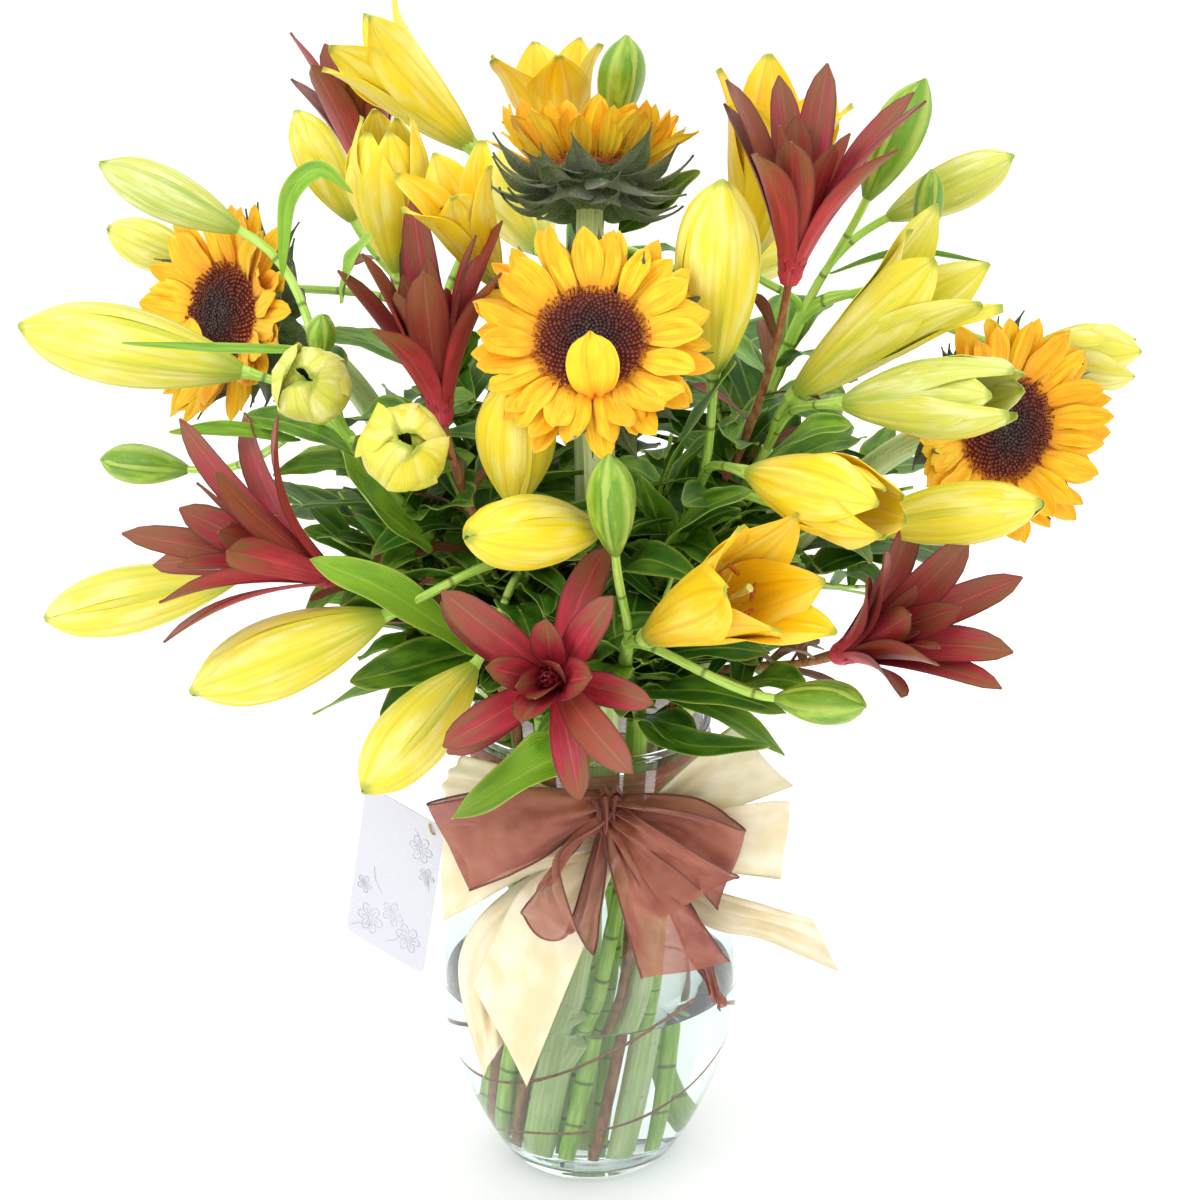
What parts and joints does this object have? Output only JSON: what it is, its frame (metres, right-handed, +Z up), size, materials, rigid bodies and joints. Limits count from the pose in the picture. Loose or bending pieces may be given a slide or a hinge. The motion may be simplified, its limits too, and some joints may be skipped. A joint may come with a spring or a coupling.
{
  "type": "vase of flowers",
  "caption": "Bouquet of sunflowers, yellow lilies and red conebush in a clear glass vase of water, tied with a cream and brown ribbon bow and a plain gift card.",
  "frame": {"origin": "centre of the vase's foot, on the surface it stands on", "axes": "+Z up; -Y towards the front, the side the bow faces; +X to the right as seen from the front"},
  "size_m": [0.5449, 0.4001, 0.6145],
  "materials": {
    "clear_glass": "clear, smooth",
    "water": "clear water, still",
    "stem_green": "fresh green stems and leaves, slightly waxy",
    "sunflower_green": "dull hairy green",
    "lily_yellow": "waxy yellow petal",
    "sunflower_gold": "soft golden petal",
    "seed_brown": "dark rough florets",
    "conebush_red": "leathery dark red bracts",
    "satin_cream": "shiny satin",
    "organza_brown": "sheer organza",
    "vine_brown": "thin woody vine",
    "card_white": "matte white card",
    "gold_cord": "fine metallic cord"
  },
  "bodies": {
    "root": {"card": "card_white", "card_tie": "gold_cord", "conebush_front": "conebush_red", "conebush_left": "conebush_red", "conebush_middle": "conebush_red", "conebush_right": "conebush_red", "conebush_top_left": "conebush_red", "conebush_top_right": "conebush_red", "lily_bloom_a1": "lily_yellow", "lily_bloom_a2": "lily_yellow", "lily_bloom_a3": "lily_yellow", "lily_bloom_a4": "lily_yellow", "lily_bloom_b1": "lily_yellow", "lily_bloom_c1": "lily_yellow", "lily_bloom_c2": "lily_yellow", "lily_bloom_c3": "lily_yellow", "lily_bloom_c4": "lily_yellow", "lily_bloom_d1": "lily_yellow", "lily_bloom_d2": "lily_yellow", "lily_bloom_d3": "lily_yellow", "lily_bloom_d4": "lily_yellow", "lily_bloom_d5": "lily_yellow", "lily_bloom_e1": "lily_yellow", "lily_bloom_f1": "lily_yellow", "lily_bloom_f2": "lily_yellow", "lily_bloom_f3": "lily_yellow", "lily_bloom_g1": "lily_yellow", "lily_bloom_g2": "lily_yellow", "lily_bloom_h1": "lily_yellow", "lily_bloom_h2": "lily_yellow", "lily_bloom_h3": "lily_yellow", "lily_bloom_i1": "lily_yellow", "lily_bloom_i2": "lily_yellow", "lily_bloom_i3": "lily_yellow", "lily_stem_a": "stem_green", "lily_stem_b": "stem_green", "lily_stem_c": "stem_green", "lily_stem_d": "stem_green", "lily_stem_e": "stem_green", "lily_stem_f": "stem_green", "lily_stem_g": "stem_green", "lily_stem_h": "stem_green", "lily_stem_i": "stem_green", "organza_ribbon": "organza_brown", "satin_ribbon": "satin_cream", "sunflower_front_disc": "seed_brown", "sunflower_front_petals": "sunflower_gold", "sunflower_front_stem": "sunflower_green", "sunflower_left_disc": "seed_brown", "sunflower_left_petals": "sunflower_gold", "sunflower_left_stem": "sunflower_green", "sunflower_right_disc": "seed_brown", "sunflower_right_petals": "sunflower_gold", "sunflower_right_stem": "sunflower_green", "sunflower_top_disc": "seed_brown", "sunflower_top_petals": "sunflower_gold", "sunflower_top_stem": "sunflower_green", "vase": "clear_glass", "vine": "vine_brown", "water": "water"}
  },
  "joints": []
}
